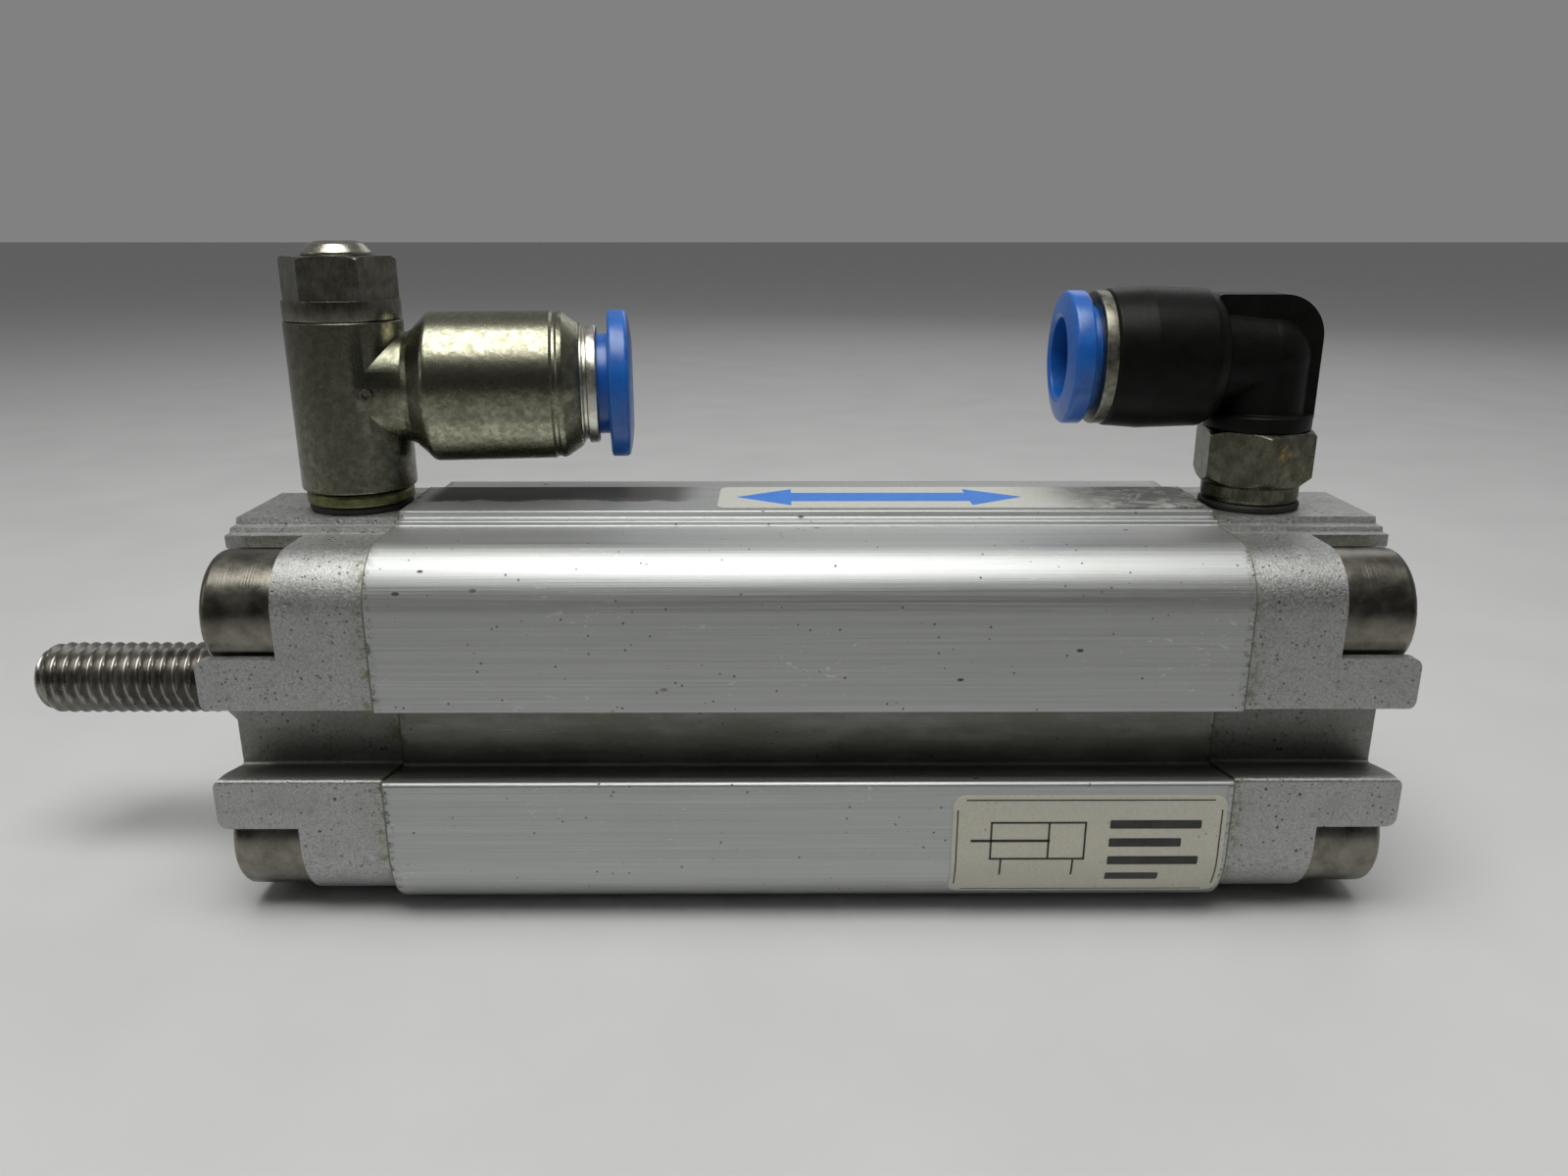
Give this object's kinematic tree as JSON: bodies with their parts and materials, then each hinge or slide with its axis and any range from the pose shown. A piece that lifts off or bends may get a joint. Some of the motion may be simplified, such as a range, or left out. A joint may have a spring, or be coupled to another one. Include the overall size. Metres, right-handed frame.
{
  "type": "pneumatic cylinder",
  "caption": "Compact pneumatic cylinder with square guided rod and male thread, a swivelling one-way flow control valve and a swivelling push-in elbow.",
  "frame": {"origin": "middle of the barrel's flat bottom face", "axes": "+X from the rod end to the closed end along the cylinder axis, +Z from the bottom face to the port face, type label on the -Y face"},
  "size_m": [0.1079, 0.0291, 0.0498],
  "materials": {
    "anodised": "satin anodised extrusion",
    "cast": "matte blasted casting",
    "steel": "turned and polished",
    "nickel": "nickel plated",
    "zinc": "nickel-plated die casting",
    "brass": "worn brass",
    "rubber": "matte",
    "black_plastic": "satin moulded",
    "blue_plastic": "smooth moulded",
    "bearing": "sintered bronze",
    "bumper": "matte elastomer",
    "magnet": "matte sintered",
    "label": "satin film"
  },
  "bodies": {
    "housing": {"barrel": "anodised", "front_cap": "cast", "rear_cap": "cast", "front_collar_screw_1": "steel", "front_collar_screw_2": "steel", "front_collar_screw_3": "steel", "front_collar_screw_4": "steel", "front_cap_seal": "rubber", "front_bumper": "bumper", "rear_collar_screw_1": "steel", "rear_collar_screw_2": "steel", "rear_collar_screw_3": "steel", "rear_collar_screw_4": "steel", "rear_cap_seal": "rubber", "rear_bumper": "bumper", "rod_bearing": "bearing", "rod_wiper": "rubber", "type_label": "label", "top_label": "label", "valve_bolt": "nickel", "valve_port_seal": "rubber", "valve_base_ring": "brass", "check_lip_seal": "rubber", "elbow_stem": "nickel", "elbow_port_seal": "rubber"},
    "rod": {"piston_rod": "steel", "piston_front_half": "anodised", "piston_rear_half": "anodised", "piston_front_seal": "rubber", "piston_rear_seal": "rubber", "magnet_ring": "magnet", "piston_screw": "steel"},
    "valve_swivel": {"valve_body": "zinc", "valve_mouth_ring": "nickel", "valve_grip_ring": "steel", "valve_tube_seal": "rubber"},
    "valve_sleeve": {"valve_release_sleeve": "blue_plastic"},
    "adjuster": {"adjusting_screw": "nickel", "throttle_needle": "brass"},
    "elbow_swivel": {"elbow_body": "black_plastic", "elbow_mouth_ring": "nickel", "elbow_grip_ring": "steel", "elbow_tube_seal": "rubber"},
    "elbow_sleeve": {"elbow_release_sleeve": "blue_plastic"}
  },
  "joints": [
    {"name": "rod_stroke", "type": "slide", "parent": "housing", "child": "rod", "axis": [-1, 0, 0], "range_m": [0, 0.05]},
    {"name": "valve_turn", "type": "hinge", "parent": "housing", "child": "valve_swivel", "pos_m": [-0.0357, 0, 0.0387], "axis": [0, 0, 1], "continuous": true},
    {"name": "valve_sleeve_press", "type": "slide", "parent": "valve_swivel", "child": "valve_sleeve", "axis": [-0.9917, -0.1286, 0], "range_m": [0, 0.0005], "stiffness_N_per_m": 800},
    {"name": "screw_turn", "type": "hinge", "parent": "housing", "child": "adjuster", "pos_m": [-0.0357, 0, 0.0487], "axis": [0, 0, 1], "range_deg": [0, 1800]},
    {"name": "elbow_turn", "type": "hinge", "parent": "housing", "child": "elbow_swivel", "pos_m": [0.0357, 0, 0.04105], "axis": [0, 0, 1], "continuous": true},
    {"name": "elbow_sleeve_press", "type": "slide", "parent": "elbow_swivel", "child": "elbow_sleeve", "axis": [1, 0, 0], "range_m": [0, 0.0005], "stiffness_N_per_m": 800}
  ]
}
